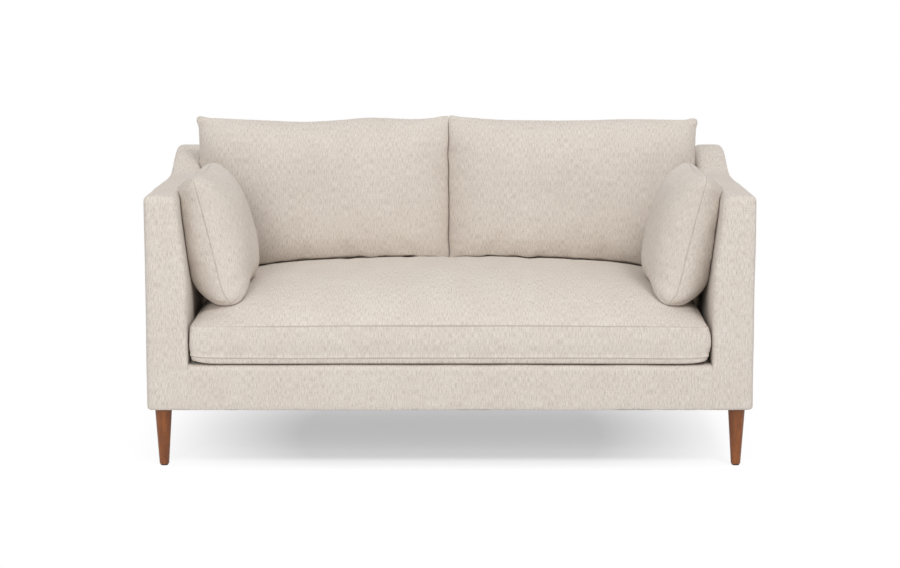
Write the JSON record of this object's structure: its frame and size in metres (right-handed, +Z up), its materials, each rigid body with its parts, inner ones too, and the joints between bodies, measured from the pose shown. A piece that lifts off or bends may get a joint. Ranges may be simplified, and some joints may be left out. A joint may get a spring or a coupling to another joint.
{
  "type": "two-seat loveseat",
  "caption": "Upholstered loveseat with narrow upswept arms, a bench seat cushion, loose back cushions, side pillows and tapered round wooden legs.",
  "frame": {"origin": "on the floor, under the middle of the overall box", "axes": "+X to the viewer's right along the seat, -Y to the front where the sitter's legs hang, +Z up"},
  "size_m": [1.6, 0.905, 0.8733],
  "materials": {
    "upholstery_cloth": "oatmeal woven cloth with fine vertical slubs",
    "leg_wood": "walnut-stained, satin",
    "frame_wood": "bare sawn hardwood",
    "spring_steel": "drawn spring wire",
    "fixing_steel": "zinc-plated",
    "webbing": "woven elastic webbing",
    "deck_felt": "needled felt",
    "dust_lining": "black non-woven lining",
    "glide_plastic": "matte"
  },
  "bodies": {
    "frame": {"front_rail": "frame_wood", "back_rail": "frame_wood", "centre_brace": "frame_wood", "back_top_rail": "frame_wood", "back_stile": "frame_wood", "left_side_rail": "frame_wood", "right_side_rail": "frame_wood", "left_front_post": "frame_wood", "right_front_post": "frame_wood", "left_rear_post": "frame_wood", "right_rear_post": "frame_wood", "left_arm_rail": "frame_wood", "right_arm_rail": "frame_wood", "left_front_corner_block": "frame_wood", "right_front_corner_block": "frame_wood", "left_rear_corner_block": "frame_wood", "right_rear_corner_block": "frame_wood", "seat_spring_1": "spring_steel", "seat_spring_2": "spring_steel", "seat_spring_3": "spring_steel", "seat_spring_4": "spring_steel", "seat_spring_5": "spring_steel", "seat_spring_6": "spring_steel", "seat_spring_7": "spring_steel", "seat_spring_8": "spring_steel", "spring_tie_rod_1": "spring_steel", "spring_tie_rod_2": "spring_steel", "back_strap_1": "webbing", "back_strap_2": "webbing", "back_strap_3": "webbing", "back_strap_4": "webbing", "deck_pad": "deck_felt", "dust_cover": "dust_lining", "left_arm_cover": "upholstery_cloth", "right_arm_cover": "upholstery_cloth", "front_rail_cover": "upholstery_cloth", "back_cover": "upholstery_cloth", "left_front_leg": "leg_wood", "right_front_leg": "leg_wood", "left_rear_leg": "leg_wood", "right_rear_leg": "leg_wood", "left_front_glide": "glide_plastic", "right_front_glide": "glide_plastic", "left_rear_glide": "glide_plastic", "right_rear_glide": "glide_plastic", "left_front_leg_plate": "fixing_steel", "right_front_leg_plate": "fixing_steel", "left_rear_leg_plate": "fixing_steel", "right_rear_leg_plate": "fixing_steel", "left_front_hanger_bolt": "fixing_steel", "right_front_hanger_bolt": "fixing_steel", "left_rear_hanger_bolt": "fixing_steel", "right_rear_hanger_bolt": "fixing_steel"},
    "seat_cushion": {"seat_cushion": "upholstery_cloth"},
    "left_back_cushion": {"left_back_cushion": "upholstery_cloth"},
    "right_back_cushion": {"right_back_cushion": "upholstery_cloth"},
    "left_side_pillow": {"left_side_pillow": "upholstery_cloth"},
    "right_side_pillow": {"right_side_pillow": "upholstery_cloth"}
  },
  "joints": [
    {"name": "seat_cushion_lift", "type": "slide", "parent": "frame", "child": "seat_cushion", "axis": [0, 0, 1], "range_m": [0, 0.5]},
    {"name": "left_back_cushion_lift", "type": "slide", "parent": "seat_cushion", "child": "left_back_cushion", "axis": [0, 0, 1], "range_m": [0, 0.45]},
    {"name": "right_back_cushion_lift", "type": "slide", "parent": "seat_cushion", "child": "right_back_cushion", "axis": [0, 0, 1], "range_m": [0, 0.45]},
    {"name": "left_side_pillow_lift", "type": "slide", "parent": "seat_cushion", "child": "left_side_pillow", "axis": [0, 0, 1], "range_m": [0, 0.4]},
    {"name": "right_side_pillow_lift", "type": "slide", "parent": "seat_cushion", "child": "right_side_pillow", "axis": [0, 0, 1], "range_m": [0, 0.4]}
  ]
}
